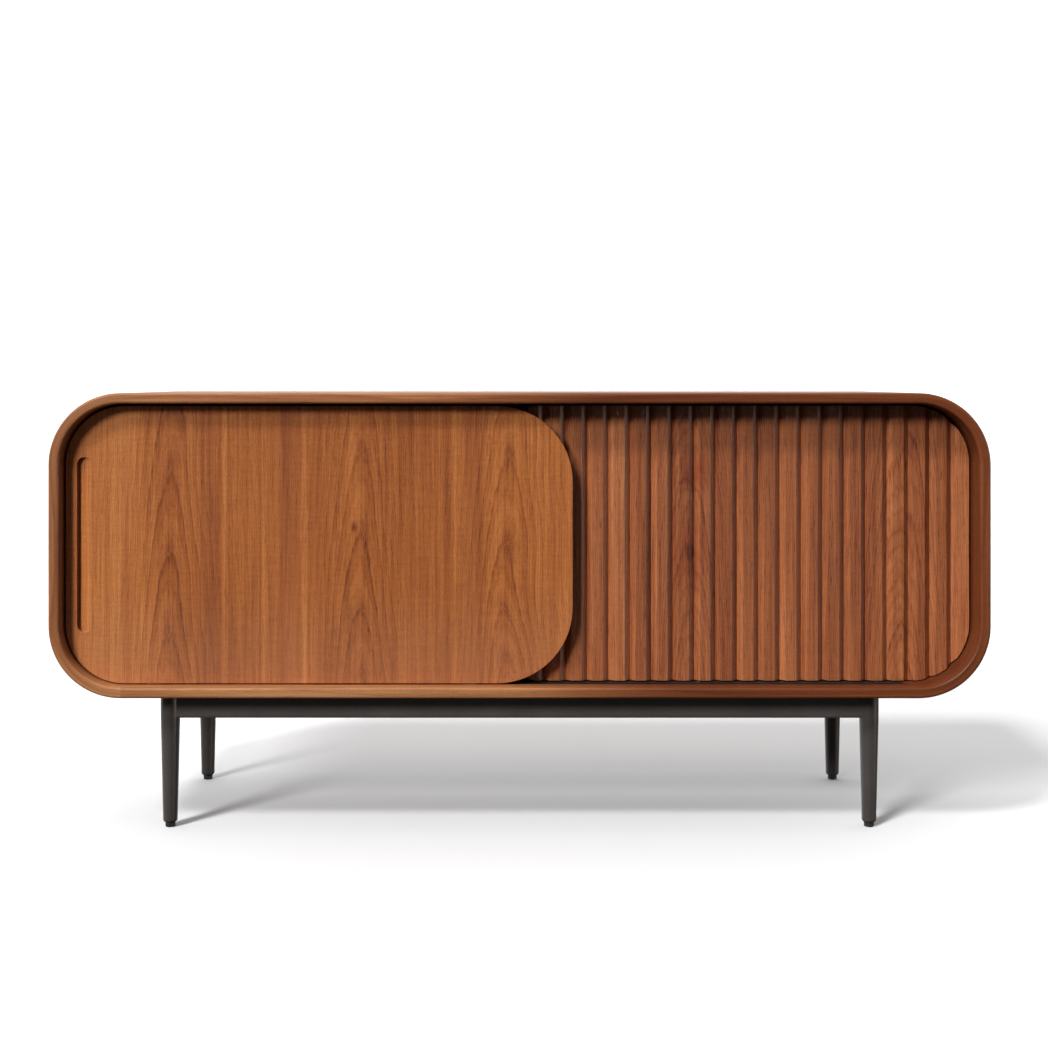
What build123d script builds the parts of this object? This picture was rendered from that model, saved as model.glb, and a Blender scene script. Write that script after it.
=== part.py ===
"""Media cabinet with two sliding doors, on a steel base with round tapered legs.

Millimetres. X runs to the right, Y to the back and Z up. The origin is on the floor under the middle
of the cabinet, so the doors are on the -Y side.
"""

import os
from math import floor, radians, tan

from build123d import *

# ---------------------------------------------------------------- driving dimensions

# Case
case_w = 1500.0
case_d = 400.0
case_h = 486.0
panel_t = 17.0
corner_r = 115.0
front_edge_r = 4.0

# Hidden splines that join the boards to the rounded corners
spline_t = 5.0
spline_depth = 10.0
spline_stop = 20.0

# Back
back_t = 6.0
back_inset = 3.0
rabbet_w = 8.0
back_gap = 0.5
back_screws_per_row = 6
back_screws_per_side = 2
back_screw_inset = 40.0
grommet_r = 25.0
grommet_wall = 2.0
grommet_flange_w = 4.0
grommet_flange_t = 2.0
grommet_height = 70.0

# Doors
front_recess = 26.0
front_door_t = 18.0
door_pass_gap = 6.0
door_side_gap = 3.5
door_bottom_gap = 2.0
door_top_gap = 4.0
door_overlap = 171.0
door_meeting_r = 122.0
door_edge_r = 1.0
pull_w = 24.0
pull_h = 282.0
pull_inset = 18.0
pull_depth = 9.0
pull_rim_depth = 0.8

# Ribbed door
rib_pitch = 34.82
rib_outer_flat = 19.3
rib_least_flat = 8.0
rib_bevel_deg = 45.0
rib_edge_r = 0.8
rib_web = 2.3
rib_gap = 0.3
backing_t = 16.0

# Tracks
groove_w = 8.0
track_wall = 1.5
bottom_track_h = 9.0
top_track_h = 10.0
track_end_gap = 5.0
track_fit = 0.2
track_screw_count = 5
track_screw_inset = 40.0

# Rollers and guides
roller_r = 12.0
roller_w = 5.0
roller_edge_r = 0.8
roller_inset = 45.0
roller_lift = 0.3
roller_side_gap = 0.3
roller_slot_gap = 1.5
axle_r = 1.5
running_fit = 0.05
housing_w = 10.0
housing_half_l = 22.0
housing_roof = 4.0
mortise_fit = 0.1
guide_depth = 14.0
guide_fin_w = 5.0
guide_fin_half_l = 12.0
guide_reach = 5.0

# Inside
divider_t = 17.0
divider_gap = 5.0
dowel_r = 4.0
dowel_in_board = 8.0
dowel_in_divider = 20.0
dowel_end_gap = 1.0
dowel_count = 3
dowel_inset = 50.0
shelf_t = 16.0
shelf_setback = 5.0
shelf_gap = 1.0
pin_r = 2.5
pin_shank = 7.0
pin_flange_r = 4.0
pin_flange_t = 1.2
pin_tongue_l = 8.0
pin_tongue_w = 6.0
pin_tongue_t = 4.0
pin_end_gap = 0.5
pin_pitch = 32.0
pin_rows_each_way = 2
pin_inset = 40.0

# Base
base_h = 218.0
rail_h = 41.0
rail_w = 20.0
rail_wall = 1.5
rail_edge_r = 4.5
weld_gap = 0.1
leg_inset_x = 182.5
leg_inset_y = 54.0
leg_top_r = 15.5
leg_foot_r = 11.5
leg_end_r = 5.0
leg_wall = 2.0
leg_plug_top = 38.0
insert_r = 6.5
insert_h = 25.0
tab_l = 30.0
tab_reach = 25.0
tab_t = 3.0
tab_count = 3
tab_spread = 400.0

# Levelling feet
foot_pad_r = 8.0
foot_pad_h = 7.0
foot_edge_r = 1.2
stud_r = 4.0
stud_h = 28.0

# Screws
screw_fit = 0.05
back_screw_r = 1.75
back_screw_head_r = 3.5
back_screw_head_t = 1.8
back_screw_bite = 14.0
flat_screw_r = 1.6
flat_screw_head_r = 3.1
flat_screw_head_t = 1.5
track_screw_l = 14.0
housing_screw_l = 34.0
guide_screw_l = 28.0
base_screw_l = 13.0

# ---------------------------------------------------------------- places worked out from them

case_y0 = -case_d / 2
case_y1 = case_d / 2
case_z0 = base_h
case_z1 = base_h + case_h
case_mid_z = (case_z0 + case_z1) / 2
floor_z = case_z0 + panel_t
ceiling_z = case_z1 - panel_t
inner_w = case_w - 2 * panel_t
inner_h = case_h - 2 * panel_t
inner_r = corner_r - panel_t
straight_x = case_w / 2 - corner_r
straight_z0 = case_z0 + corner_r
straight_z1 = case_z1 - corner_r

back_y1 = case_y1 - back_inset
back_y0 = back_y1 - back_t
back_mid_y = (back_y0 + back_y1) / 2
ledge_x = inner_w / 2 + rabbet_w / 2
ledge_z0 = floor_z - rabbet_w / 2
ledge_z1 = ceiling_z + rabbet_w / 2
grommet_x = inner_w / 4
grommet_z = floor_z + grommet_height

door_z0 = floor_z + door_bottom_gap
door_z1 = ceiling_z - door_top_gap
door_h = door_z1 - door_z0
door_mid_z = (door_z0 + door_z1) / 2
door_w = (inner_w - 2 * door_side_gap + door_overlap) / 2
door_outer_x = inner_w / 2 - door_side_gap
door_meeting_x = door_outer_x - door_w
door_side_r = inner_r - door_side_gap

front_door_y0 = case_y0 + front_recess
front_door_y1 = front_door_y0 + front_door_t
front_door_y = (front_door_y0 + front_door_y1) / 2
ribs_y0 = front_door_y1 + door_pass_gap
rib_bevel_w = rib_pitch / 4
rib_groove_depth = rib_bevel_w * tan(radians(rib_bevel_deg))
first_groove_x = door_outer_x - rib_outer_flat - rib_bevel_w
last_groove_x = door_meeting_x + rib_least_flat + rib_bevel_w
groove_count = floor((first_groove_x - last_groove_x) / rib_pitch) + 1
groove_xs = [first_groove_x - rib_pitch * index for index in range(groove_count)]
rib_t = rib_groove_depth + rib_web
backing_y0 = ribs_y0 + rib_t
backing_y1 = backing_y0 + backing_t
ribbed_door_y = (backing_y0 + backing_y1) / 2

track_l = 2 * (straight_x - spline_depth - track_end_gap)
track_y0 = front_door_y - groove_w / 2 - track_wall
track_y1 = ribbed_door_y + groove_w / 2 + track_wall
track_y = (track_y0 + track_y1) / 2
land_y = (front_door_y + ribbed_door_y) / 2
land_w = ribbed_door_y - front_door_y - groove_w

roller_z = floor_z - bottom_track_h + track_wall + roller_lift + roller_r
housing_z1 = roller_z + roller_r + roller_slot_gap + housing_roof
roller_xs = (
    -door_outer_x + door_side_r + roller_inset,
    -door_meeting_x - door_meeting_r - roller_inset,
)
fixing_x = (housing_half_l + roller_r + roller_slot_gap) / 2

divider_y0 = backing_y1 + divider_gap
shelf_y0 = divider_y0 + shelf_setback
shelf_y1 = back_y0 - shelf_gap
shelf_z0 = case_mid_z - shelf_t / 2
pin_z = shelf_z0 - pin_tongue_t / 2
pin_ys = (shelf_y0 + pin_inset, shelf_y1 - pin_inset)
pin_zs = [pin_z + row * pin_pitch for row in range(-pin_rows_each_way, pin_rows_each_way + 1)]

leg_x = case_w / 2 - leg_inset_x
leg_y = case_d / 2 - leg_inset_y
leg_places = {
    "front_left": (-leg_x, -leg_y),
    "front_right": (leg_x, -leg_y),
    "rear_left": (-leg_x, leg_y),
    "rear_right": (leg_x, leg_y),
}
rail_z0 = case_z0 - rail_h
rail_mid_z = case_z0 - rail_h / 2
tab_y = leg_y - rail_w / 2 - tab_reach / 2


def spaced(first, last, count):
    """Evenly spaced values from first to last."""
    step = (last - first) / (count - 1)
    return [first + step * index for index in range(count)]


dowel_ys = spaced(divider_y0 + dowel_inset, back_y0 - dowel_inset, dowel_count)
track_screw_xs = spaced(
    -track_l / 2 + track_screw_inset, track_l / 2 - track_screw_inset, track_screw_count
)
tab_xs = spaced(-tab_spread, tab_spread, tab_count)
back_screw_places = (
    [
        (x, z)
        for z in (ledge_z0, ledge_z1)
        for x in spaced(
            -straight_x + back_screw_inset, straight_x - back_screw_inset, back_screws_per_row
        )
    ]
    + [
        (x, z)
        for x in (-ledge_x, ledge_x)
        for z in spaced(
            straight_z0 + back_screw_inset, straight_z1 - back_screw_inset, back_screws_per_side
        )
    ]
    + [(0.0, z) for z in spaced(straight_z0, straight_z1, back_screws_per_side)]
)

# ---------------------------------------------------------------- shared shapes

turned = {"X": (0, 90, 0), "Y": (90, 0, 0), "Z": (0, 0, 0)}


def facing_front(y):
    """The upright plane at depth y that faces the front; a negative extrude goes to the back."""
    return Plane.XZ.offset(-y)


def block(x0, x1, y0, y1, z0, z1, mode=Mode.ADD):
    """A box between three pairs of planes, for the open part."""
    with Locations(((x0 + x1) / 2, (y0 + y1) / 2, (z0 + z1) / 2)):
        Box(x1 - x0, y1 - y0, z1 - z0, mode=mode)


def rod(centre, radius, length, along="Z", mode=Mode.ADD):
    """A cylinder centred on a point, for the open part."""
    with Locations(centre):
        Cylinder(radius, length, rotation=turned[along], mode=mode)


def back_screw(x, z, grow=0.0, mode=Mode.ADD):
    """A pan-head screw driven forwards through the back; grow makes its hole."""
    head_t = back_screw_head_t
    if mode == Mode.ADD:
        rod((x, back_y1 + head_t / 2, z), back_screw_head_r, head_t, "Y")
    length = back_t + back_screw_bite + grow
    rod((x, back_y1 - length / 2, z), back_screw_r + grow, length, "Y", mode)


def flat_screw(x, y, z, up, length, grow=0.0, mode=Mode.ADD):
    """A countersunk screw with its head's face at z; up is 1 or -1, the way it points."""
    wide = flat_screw_head_r + grow
    thin = flat_screw_r + grow
    with Locations((x, y, z + up * flat_screw_head_t / 2)):
        if up > 0:
            Cone(wide, thin, flat_screw_head_t, mode=mode)
        else:
            Cone(thin, wide, flat_screw_head_t, mode=mode)
    shank = length + grow - flat_screw_head_t
    rod((x, y, z + up * (flat_screw_head_t + shank / 2)), thin, shank, "Z", mode)


def save(piece, name):
    """Label a finished piece and write it to its own file."""
    piece.part.label = name
    export_step(piece.part, f"parts/{name}.step")


os.makedirs("parts", exist_ok=True)

# ---------------------------------------------------------------- case

# The case is machined as one ring and then sawn into four boards and four rounded corners.
spline_y0 = case_y0 + spline_stop
spline_y1 = case_y1 - spline_stop


def splines(end_gap, mode=Mode.ADD):
    """The eight splines across the joints; with an end gap, their slots."""
    reach = spline_depth + end_gap
    half_t = spline_t / 2
    y0 = spline_y0 - end_gap
    y1 = spline_y1 + end_gap
    for x in (-straight_x, straight_x):
        for z in (case_z0 + panel_t / 2, case_z1 - panel_t / 2):
            block(x - reach, x + reach, y0, y1, z - half_t, z + half_t, mode)
    for x in (-case_w / 2 + panel_t / 2, case_w / 2 - panel_t / 2):
        for z in (straight_z0, straight_z1):
            block(x - half_t, x + half_t, y0, y1, z - reach, z + reach, mode)


with BuildPart() as case_ring:
    with BuildSketch(facing_front(case_y0)):
        with Locations((0, case_mid_z)):
            RectangleRounded(case_w, case_h, corner_r)
            RectangleRounded(inner_w, inner_h, inner_r, mode=Mode.SUBTRACT)
    extrude(amount=-case_d)
    fillet(case_ring.edges().group_by(Axis.Y)[0], front_edge_r)
    # Rabbet for the back
    with BuildSketch(facing_front(case_y1)):
        with Locations((0, case_mid_z)):
            RectangleRounded(
                inner_w + 2 * rabbet_w, inner_h + 2 * rabbet_w, inner_r + rabbet_w
            )
    extrude(amount=back_t + back_inset, mode=Mode.SUBTRACT)
    for place in back_screw_places:
        back_screw(*place, grow=screw_fit, mode=Mode.SUBTRACT)
    # Slots for the splines
    splines(screw_fit, Mode.SUBTRACT)
    # Recesses for the tracks
    recess_x = track_l / 2 + track_fit
    recess_y = (track_y0 - track_fit, track_y1 + track_fit)
    block(-recess_x, recess_x, *recess_y, floor_z - bottom_track_h, floor_z, Mode.SUBTRACT)
    block(-recess_x, recess_x, *recess_y, ceiling_z, ceiling_z + top_track_h, Mode.SUBTRACT)
    for x in track_screw_xs:
        flat_screw(x, land_y, floor_z, -1, track_screw_l, screw_fit, Mode.SUBTRACT)
        flat_screw(x, land_y, ceiling_z, 1, track_screw_l, screw_fit, Mode.SUBTRACT)
    # Dowel holes for the divider
    for y in dowel_ys:
        depth = dowel_in_board + dowel_end_gap
        for z in (floor_z - depth / 2, ceiling_z + depth / 2):
            rod((0, y, z), dowel_r + screw_fit, depth, "Z", Mode.SUBTRACT)
    # Shelf pin holes in both sides
    for side in (-1, 1):
        depth = pin_shank + pin_end_gap
        for y in pin_ys:
            for z in pin_zs:
                centre = (side * (inner_w / 2 + depth / 2), y, z)
                rod(centre, pin_r + screw_fit, depth, "X", Mode.SUBTRACT)
    # Screw holes for the base, in the underside
    for x in tab_xs:
        for y in (-tab_y, tab_y):
            flat_screw(x, y, case_z0 - tab_t, 1, base_screw_l, screw_fit, Mode.SUBTRACT)

outer_x = case_w / 2
board_limits = {
    "top_panel": (-straight_x, straight_x, case_mid_z, case_z1),
    "bottom_panel": (-straight_x, straight_x, case_z0, case_mid_z),
    "left_side_panel": (-outer_x, 0, straight_z0, straight_z1),
    "right_side_panel": (0, outer_x, straight_z0, straight_z1),
    "top_left_corner": (-outer_x, -straight_x, straight_z1, case_z1),
    "top_right_corner": (straight_x, outer_x, straight_z1, case_z1),
    "bottom_left_corner": (-outer_x, -straight_x, case_z0, straight_z0),
    "bottom_right_corner": (straight_x, outer_x, case_z0, straight_z0),
}
for name, (x0, x1, z0, z1) in board_limits.items():
    with BuildPart() as board:
        add(case_ring.part)
        block(x0, x1, case_y0, case_y1, z0, z1, Mode.INTERSECT)
    save(board, name)

with BuildPart() as corner_splines:
    splines(0.0)
save(corner_splines, "corner_splines")

# ---------------------------------------------------------------- back

with BuildPart() as back_panel:
    with BuildSketch(facing_front(back_y0)):
        with Locations((0, case_mid_z)):
            RectangleRounded(
                inner_w + 2 * (rabbet_w - back_gap),
                inner_h + 2 * (rabbet_w - back_gap),
                inner_r + rabbet_w - back_gap,
            )
    extrude(amount=-back_t)
    for x in (-grommet_x, grommet_x):
        hole_r = grommet_r + grommet_wall + screw_fit
        rod((x, back_mid_y, grommet_z), hole_r, back_t, "Y", Mode.SUBTRACT)
    for place in back_screw_places:
        back_screw(*place, grow=screw_fit, mode=Mode.SUBTRACT)
save(back_panel, "back_panel")

with BuildPart() as back_panel_screws:
    for place in back_screw_places:
        back_screw(*place)
save(back_panel_screws, "back_panel_screws")

with BuildPart() as cable_grommets:
    sleeve_r = grommet_r + grommet_wall
    flange_r = sleeve_r + grommet_flange_w
    for x in (-grommet_x, grommet_x):
        rod((x, back_mid_y, grommet_z), sleeve_r, back_t, "Y")
        rod((x, back_y1 + grommet_flange_t / 2, grommet_z), flange_r, grommet_flange_t, "Y")
        rod((x, back_y0 - grommet_flange_t / 2, grommet_z), flange_r, grommet_flange_t, "Y")
        bore_l = back_t + 2 * grommet_flange_t
        rod((x, back_mid_y, grommet_z), grommet_r, bore_l, "Y", Mode.SUBTRACT)
save(cable_grommets, "cable_grommets")

# ---------------------------------------------------------------- divider and shelves

with BuildPart() as center_divider:
    half_t = divider_t / 2
    block(-half_t, half_t, divider_y0, back_y0, floor_z, ceiling_z)
    fillet(center_divider.edges().group_by(Axis.Y)[0].filter_by(Axis.Z), door_edge_r)
    for y in dowel_ys:
        depth = dowel_in_divider + dowel_end_gap
        for z in (floor_z + depth / 2, ceiling_z - depth / 2):
            rod((0, y, z), dowel_r + screw_fit, depth, "Z", Mode.SUBTRACT)
    for side in (-1, 1):
        depth = pin_shank + pin_end_gap
        for y in pin_ys:
            for z in pin_zs:
                centre = (side * (half_t - depth / 2), y, z)
                rod(centre, pin_r + screw_fit, depth, "X", Mode.SUBTRACT)
    for place in back_screw_places:
        back_screw(*place, grow=screw_fit, mode=Mode.SUBTRACT)
save(center_divider, "center_divider")

with BuildPart() as divider_dowels:
    for y in dowel_ys:
        length = dowel_in_board + dowel_in_divider
        low = floor_z - dowel_in_board + length / 2
        high = ceiling_z + dowel_in_board - length / 2
        for z in (low, high):
            rod((0, y, z), dowel_r, length)
save(divider_dowels, "divider_dowels")

shelf_x0 = divider_t / 2 + shelf_gap
shelf_x1 = inner_w / 2 - shelf_gap
for name, x0, x1 in (
    ("left_shelf", -shelf_x1, -shelf_x0),
    ("right_shelf", shelf_x0, shelf_x1),
):
    with BuildPart() as shelf:
        block(x0, x1, shelf_y0, shelf_y1, shelf_z0, shelf_z0 + shelf_t)
        fillet(shelf.edges().group_by(Axis.Y)[0].filter_by(Axis.X), door_edge_r)
    save(shelf, name)

with BuildPart() as shelf_pins:
    for wall_x, inward in (
        (-inner_w / 2, 1),
        (-divider_t / 2, -1),
        (divider_t / 2, 1),
        (inner_w / 2, -1),
    ):
        for y in pin_ys:
            rod((wall_x - inward * pin_shank / 2, y, pin_z), pin_r, pin_shank, "X")
            rod((wall_x + inward * pin_flange_t / 2, y, pin_z), pin_flange_r, pin_flange_t, "X")
            # The flange is cut level with the tongue, where the shelf rests
            tip_x = wall_x + inward * pin_tongue_l
            x0, x1 = min(wall_x, tip_x), max(wall_x, tip_x)
            y0, y1 = y - pin_tongue_w / 2, y + pin_tongue_w / 2
            block(x0, x1, y0, y1, pin_z - pin_tongue_t / 2, shelf_z0)
            y0, y1 = y - pin_flange_r, y + pin_flange_r
            block(x0, x1, y0, y1, shelf_z0, shelf_z0 + pin_flange_r, Mode.SUBTRACT)
save(shelf_pins, "shelf_pins")

# ---------------------------------------------------------------- tracks


def track(z0, z1, groove_z0, groove_z1, hollow_z0, hollow_z1):
    """A double-groove track: both grooves open at its mouth, with a hollow land between."""
    with BuildPart() as piece:
        block(-track_l / 2, track_l / 2, track_y0, track_y1, z0, z1)
        for y in (front_door_y, ribbed_door_y):
            y0, y1 = y - groove_w / 2, y + groove_w / 2
            block(-track_l / 2, track_l / 2, y0, y1, groove_z0, groove_z1, Mode.SUBTRACT)
        half_w = land_w / 2 - track_wall
        y0, y1 = land_y - half_w, land_y + half_w
        block(-track_l / 2, track_l / 2, y0, y1, hollow_z0, hollow_z1, Mode.SUBTRACT)
        up = 1 if z0 == ceiling_z else -1
        face_z = ceiling_z if up > 0 else floor_z
        for x in track_screw_xs:
            flat_screw(x, land_y, face_z, up, track_screw_l, screw_fit, Mode.SUBTRACT)
    return piece


bottom_z = floor_z - bottom_track_h
bottom_track = track(
    bottom_z, floor_z, bottom_z + track_wall, floor_z, bottom_z, floor_z - track_wall
)
save(bottom_track, "bottom_track")

top_z = ceiling_z + top_track_h
top_track = track(
    ceiling_z, top_z, ceiling_z, top_z - track_wall, ceiling_z + track_wall, top_z
)
save(top_track, "top_track")

with BuildPart() as track_screws:
    for x in track_screw_xs:
        flat_screw(x, land_y, floor_z, -1, track_screw_l)
        flat_screw(x, land_y, ceiling_z, 1, track_screw_l)
save(track_screws, "track_screws")

# ---------------------------------------------------------------- door panels


def mortises(y, xs):
    """Cut the pockets for a door's roller housings and top guides, and their screw holes."""
    half_l = housing_half_l + mortise_fit
    y0, y1 = y - housing_w / 2 - mortise_fit, y + housing_w / 2 + mortise_fit
    for x in xs:
        block(x - half_l, x + half_l, y0, y1, door_z0, housing_z1, Mode.SUBTRACT)
        guide_z0 = door_z1 - guide_depth
        block(x - half_l, x + half_l, y0, y1, guide_z0, door_z1, Mode.SUBTRACT)
        for screw_x in (x - fixing_x, x + fixing_x):
            flat_screw(screw_x, y, door_z0, 1, housing_screw_l, screw_fit, Mode.SUBTRACT)
            flat_screw(screw_x, y, door_z1, -1, guide_screw_l, screw_fit, Mode.SUBTRACT)


# The finger pull's cutter: a slot with round ends, and a floor that rises to the door's face
pull_x0 = -door_outer_x + pull_inset
pull_x1 = pull_x0 + pull_w
with BuildPart() as pull_cutter:
    with BuildSketch(facing_front(front_door_y0)):
        with Locations(((pull_x0 + pull_x1) / 2, door_mid_z)):
            SlotOverall(pull_h, pull_w, rotation=90)
    extrude(amount=-front_door_t)
    with BuildSketch(Plane.XY.offset(door_z0)):
        with BuildLine():
            Polyline(
                (pull_x0, front_door_y0),
                (pull_x1, front_door_y0),
                (pull_x1, front_door_y0 + pull_rim_depth),
                (pull_x0, front_door_y0 + pull_depth),
                close=True,
            )
        make_face()
    extrude(amount=door_h, mode=Mode.INTERSECT)

with BuildPart() as front_door_panel:
    with BuildSketch(facing_front(front_door_y0)) as outline:
        with Locations((-(door_outer_x + door_meeting_x) / 2, door_mid_z)):
            Rectangle(door_w, door_h)
        fillet(outline.vertices().group_by(Axis.X)[0], door_side_r)
        fillet(outline.vertices().group_by(Axis.X)[-1], door_meeting_r)
    extrude(amount=-front_door_t)
    faces_of_door = front_door_panel.edges().group_by(Axis.Y)
    fillet(faces_of_door[0] + faces_of_door[-1], door_edge_r)
    add(pull_cutter.part, mode=Mode.SUBTRACT)
    mortises(front_door_y, roller_xs)
save(front_door_panel, "front_door_panel")

# The ribbed door mirrors the front door's outline and rollers.
ribbed_roller_xs = [-x for x in reversed(roller_xs)]

with BuildPart() as ribbed_outline:
    with BuildSketch(facing_front(ribs_y0)) as outline:
        with Locations(((door_outer_x + door_meeting_x) / 2, door_mid_z)):
            Rectangle(door_w, door_h)
        fillet(outline.vertices().group_by(Axis.X)[0], door_meeting_r)
        fillet(outline.vertices().group_by(Axis.X)[-1], door_side_r)
    extrude(amount=-(backing_y1 - ribs_y0))

with BuildPart() as ribbed_door_backing:
    add(ribbed_outline.part)
    block(-outer_x, outer_x, backing_y0, backing_y1, door_z0, door_z1, Mode.INTERSECT)
    mortises(ribbed_door_y, ribbed_roller_xs)
save(ribbed_door_backing, "ribbed_door_backing")

# The ribs are flat battens with a V between each two; the one at the meeting edge takes what is left.
with BuildPart() as ribbed_door_ribs:
    with BuildSketch(Plane.XY.offset(door_z0)) as rib_section:
        with Locations(((door_outer_x + door_meeting_x) / 2, ribs_y0 + rib_t / 2)):
            Rectangle(door_w, rib_t)
        with Locations(*[(x, ribs_y0) for x in groove_xs]):
            Polygon(
                (-rib_bevel_w - rib_gap / 2, 0),
                (rib_bevel_w + rib_gap / 2, 0),
                (rib_gap / 2, rib_groove_depth),
                (-rib_gap / 2, rib_groove_depth),
                align=None,
                mode=Mode.SUBTRACT,
            )
        with Locations(*[(x, ribs_y0 + rib_t / 2) for x in groove_xs]):
            Rectangle(rib_gap, rib_t, mode=Mode.SUBTRACT)
        fillet(rib_section.vertices().group_by(Axis.Y)[0], rib_edge_r)
    extrude(amount=door_h)
    add(ribbed_outline.part, mode=Mode.INTERSECT)
save(ribbed_door_ribs, "ribbed_door_ribs")

# ---------------------------------------------------------------- rollers and guides of both doors

for door, y, xs in (
    ("front_door", front_door_y, roller_xs),
    ("ribbed_door", ribbed_door_y, ribbed_roller_xs),
):
    y0, y1 = y - housing_w / 2, y + housing_w / 2

    with BuildPart() as housings:
        slot_half_l = roller_r + roller_slot_gap
        slot_half_w = roller_w / 2 + roller_side_gap
        slot_z1 = roller_z + roller_r + roller_slot_gap
        for x in xs:
            block(x - housing_half_l, x + housing_half_l, y0, y1, door_z0, housing_z1)
            slot_x = (x - slot_half_l, x + slot_half_l)
            block(*slot_x, y - slot_half_w, y + slot_half_w, door_z0, slot_z1, Mode.SUBTRACT)
            rod((x, y, roller_z), axle_r, housing_w, "Y", Mode.SUBTRACT)
            for screw_x in (x - fixing_x, x + fixing_x):
                flat_screw(screw_x, y, door_z0, 1, housing_screw_l, screw_fit, Mode.SUBTRACT)
    save(housings, f"{door}_roller_housings")

    with BuildPart() as axles:
        for x in xs:
            rod((x, y, roller_z), axle_r, housing_w, "Y")
    save(axles, f"{door}_roller_axles")

    for side, x in zip(("left", "right"), xs):
        with BuildPart() as roller:
            rod((x, y, roller_z), roller_r, roller_w, "Y")
            fillet(roller.edges().filter_by(GeomType.CIRCLE), roller_edge_r)
            rod((x, y, roller_z), axle_r + running_fit, roller_w, "Y", Mode.SUBTRACT)
        save(roller, f"{door}_{side}_roller")

    with BuildPart() as guides:
        fin_z1 = ceiling_z + guide_reach
        for x in xs:
            block(x - housing_half_l, x + housing_half_l, y0, y1, door_z1 - guide_depth, door_z1)
            fin_x = (x - guide_fin_half_l, x + guide_fin_half_l)
            block(*fin_x, y - guide_fin_w / 2, y + guide_fin_w / 2, door_z1, fin_z1)
            for screw_x in (x - fixing_x, x + fixing_x):
                flat_screw(screw_x, y, door_z1, -1, guide_screw_l, screw_fit, Mode.SUBTRACT)
    save(guides, f"{door}_top_guides")

    with BuildPart() as screws:
        for x in xs:
            for screw_x in (x - fixing_x, x + fixing_x):
                flat_screw(screw_x, y, door_z0, 1, housing_screw_l)
                flat_screw(screw_x, y, door_z1, -1, guide_screw_l)
    save(screws, f"{door}_screws")

# ---------------------------------------------------------------- base


def rail_section():
    """The rounded tube section of a rail, for the open sketch."""
    RectangleRounded(rail_w, rail_h, rail_edge_r)
    RectangleRounded(
        rail_w - 2 * rail_wall, rail_h - 2 * rail_wall, rail_edge_r - rail_wall, mode=Mode.SUBTRACT
    )


for name, y in (("base_front_rail", -leg_y), ("base_rear_rail", leg_y)):
    with BuildPart() as rail:
        with BuildSketch(Plane.YZ.offset(-leg_x)):
            with Locations((y, rail_mid_z)):
                rail_section()
        extrude(amount=2 * leg_x)
        for x in (-leg_x, leg_x):
            rod((x, y, rail_mid_z), leg_top_r + weld_gap, rail_h, "Z", Mode.SUBTRACT)
    save(rail, name)

for name, x in (("base_left_rail", -leg_x), ("base_right_rail", leg_x)):
    with BuildPart() as rail:
        with BuildSketch(facing_front(leg_y)):
            with Locations((x, rail_mid_z)):
                rail_section()
        extrude(amount=2 * leg_y)
        for y in (-leg_y, leg_y):
            rod((x, y, rail_mid_z), leg_top_r + weld_gap, rail_h, "Z", Mode.SUBTRACT)
    save(rail, name)

for place, (x, y) in leg_places.items():
    axis = Axis((x, y, 0), (0, 0, 1))
    upright = Plane(origin=(x, y, 0), x_dir=(1, 0, 0), z_dir=(0, -1, 0))

    with BuildPart() as leg:
        with BuildSketch(upright):
            with BuildLine():
                Polyline(
                    (0, foot_pad_h),
                    (leg_foot_r, foot_pad_h),
                    (leg_top_r, rail_z0),
                    (leg_top_r, case_z0),
                    (0, case_z0),
                    close=True,
                )
            make_face()
        revolve(axis=axis)
        fillet(leg.edges().group_by(Axis.Z)[0], leg_end_r)
        with BuildSketch(upright):
            with BuildLine():
                Polyline(
                    (0, leg_plug_top),
                    (leg_foot_r - leg_wall, leg_plug_top),
                    (leg_top_r - leg_wall, rail_z0),
                    (leg_top_r - leg_wall, case_z0),
                    (0, case_z0),
                    close=True,
                )
            make_face()
        revolve(axis=axis, mode=Mode.SUBTRACT)
        plug_mid_z = (foot_pad_h + leg_plug_top) / 2
        rod((x, y, plug_mid_z), insert_r, leg_plug_top - foot_pad_h, "Z", Mode.SUBTRACT)
    save(leg, f"{place}_leg")

    with BuildPart() as foot_stud:
        rod((x, y, foot_pad_h + stud_h / 2), stud_r, stud_h)
    save(foot_stud, f"{place}_foot_stud")

    with BuildPart() as foot_pad:
        rod((x, y, foot_pad_h / 2), foot_pad_r, foot_pad_h)
        fillet(foot_pad.edges().filter_by(GeomType.CIRCLE), foot_edge_r)
    save(foot_pad, f"{place}_foot_pad")

with BuildPart() as leg_inserts:
    for x, y in leg_places.values():
        rod((x, y, foot_pad_h + insert_h / 2), insert_r, insert_h)
        rod((x, y, foot_pad_h + insert_h / 2), stud_r + running_fit, insert_h, "Z", Mode.SUBTRACT)
save(leg_inserts, "leg_inserts")

with BuildPart() as base_mounting_tabs:
    for x in tab_xs:
        for y in (-tab_y, tab_y):
            y0, y1 = y - tab_reach / 2, y + tab_reach / 2
            block(x - tab_l / 2, x + tab_l / 2, y0, y1, case_z0 - tab_t, case_z0)
            flat_screw(x, y, case_z0 - tab_t, 1, base_screw_l, screw_fit, Mode.SUBTRACT)
save(base_mounting_tabs, "base_mounting_tabs")

with BuildPart() as base_screws:
    for x in tab_xs:
        for y in (-tab_y, tab_y):
            flat_screw(x, y, case_z0 - tab_t, 1, base_screw_l)
save(base_screws, "base_screws")
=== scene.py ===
"""The media cabinet's looks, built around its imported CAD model. Everything is in metres."""

import math

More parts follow.
